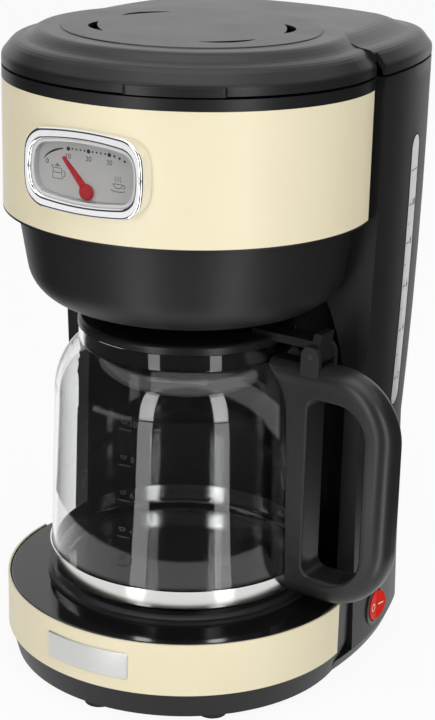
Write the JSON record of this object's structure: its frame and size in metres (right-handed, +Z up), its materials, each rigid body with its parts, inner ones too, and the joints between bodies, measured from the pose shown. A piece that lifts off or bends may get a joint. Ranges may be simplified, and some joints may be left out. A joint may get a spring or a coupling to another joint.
{
  "type": "drip coffee maker",
  "caption": "Retro filter coffee maker: round brew head with time dial, rear water tower, warming plate and a glass jug with a handle.",
  "frame": {"origin": "on the table under the middle of the outer box", "axes": "+Z up, -Y out of the front with the dial, +X to the jug's handle and the switch"},
  "size_m": [0.2376, 0.257, 0.3588],
  "materials": {
    "black_plastic": "fine satin grain",
    "black_gloss": "gloss",
    "cream_paint": "satin cream lacquer on sheet steel",
    "badge_aluminium": "satin",
    "black_enamel": "non-stick coating on steel",
    "black_rubber": "matt",
    "cast_aluminium": "as cast",
    "zinc_steel": "zinc plated",
    "white_plastic": "plain",
    "red_plastic": "gloss",
    "tank_plastic": "smoky",
    "silicone_hose": "translucent",
    "grey_plastic": "plain",
    "window_plastic": "frosted clear",
    "chrome": "polished",
    "dial_print": "pale dial with dark print",
    "clear_glass": "clear",
    "clear_lens": "clear",
    "polished_steel": "polished"
  },
  "bodies": {
    "machine": {"feet": "black_rubber", "base_pan": "black_plastic", "pan_screws": "zinc_steel", "lower_housing": "black_plastic", "base_deck": "black_gloss", "base_band": "cream_paint", "badge_plate": "badge_aluminium", "plate_gasket": "black_rubber", "warming_plate": "black_enamel", "heater_casting": "cast_aluminium", "heater_strap": "zinc_steel", "thermostat": "zinc_steel", "thermal_fuse": "white_plastic", "switch_bezel": "black_plastic", "switch_body": "black_gloss", "cord_gland": "black_plastic", "water_tank": "tank_plastic", "tank_seal": "black_rubber", "check_valve": "white_plastic", "cold_hose": "silicone_hose", "riser_tube": "silicone_hose", "shower_arm": "grey_plastic", "tower_shell": "black_plastic", "level_window": "window_plastic", "head_housing": "black_plastic", "head_band": "cream_paint", "top_frame": "black_plastic", "gauge_bezel": "chrome", "gauge_pod": "white_plastic", "gauge_dial": "dial_print", "gauge_lens": "clear_lens", "gauge_movement": "white_plastic", "filter_basket": "grey_plastic", "lid_hinge_pin": "zinc_steel"},
    "lid": {"lid_shell": "black_plastic", "lid_tab": "black_plastic", "lid_vent_disc": "black_plastic", "lid_liner": "black_plastic"},
    "jug": {"jug_glass": "clear_glass", "jug_strap": "polished_steel", "jug_handle": "black_plastic", "handle_cover": "black_plastic", "handle_screw": "zinc_steel", "jug_lid_pin": "zinc_steel"},
    "jug_lid": {"jug_lid": "black_plastic", "jug_lid_skirt": "black_gloss"},
    "rocker": {"switch_rocker": "red_plastic"},
    "needle": {"gauge_needle": "red_plastic", "gauge_hub": "red_plastic"},
    "drip_stop": {"drip_valve": "grey_plastic", "drip_seal": "black_rubber", "drip_spring": "zinc_steel"}
  },
  "joints": [
    {"name": "lid_hinge", "type": "hinge", "parent": "machine", "child": "lid", "pos_m": [-0.01749, 0.1237, 0.343], "axis": [-1, 0, 0], "range_deg": [0, 95]},
    {"name": "jug_pull", "type": "slide", "parent": "machine", "child": "jug", "axis": [0, -1, 0], "range_m": [0, 0.24]},
    {"name": "jug_lid_hinge", "type": "hinge", "parent": "jug", "child": "jug_lid", "pos_m": [0.0683, -0.0313, 0.1955], "axis": [0.0698, 0.9976, 0], "range_deg": [0, 4]},
    {"name": "switch_rock", "type": "hinge", "parent": "machine", "child": "rocker", "pos_m": [0.07913, 0.03012, 0.0262], "axis": [0, 0, 1], "range_deg": [0, 16]},
    {"name": "dial_turn", "type": "hinge", "parent": "machine", "child": "needle", "pos_m": [-0.01749, -0.1225, 0.2888], "axis": [0, 1, 0], "range_deg": [-16, 90]},
    {"name": "drip_stop_lift", "type": "slide", "parent": "machine", "child": "drip_stop", "axis": [0, 0, 1], "range_m": [0, 0.004], "stiffness_N_per_m": 300, "springref_m": -0.004, "deforming": ["drip_spring"]}
  ]
}
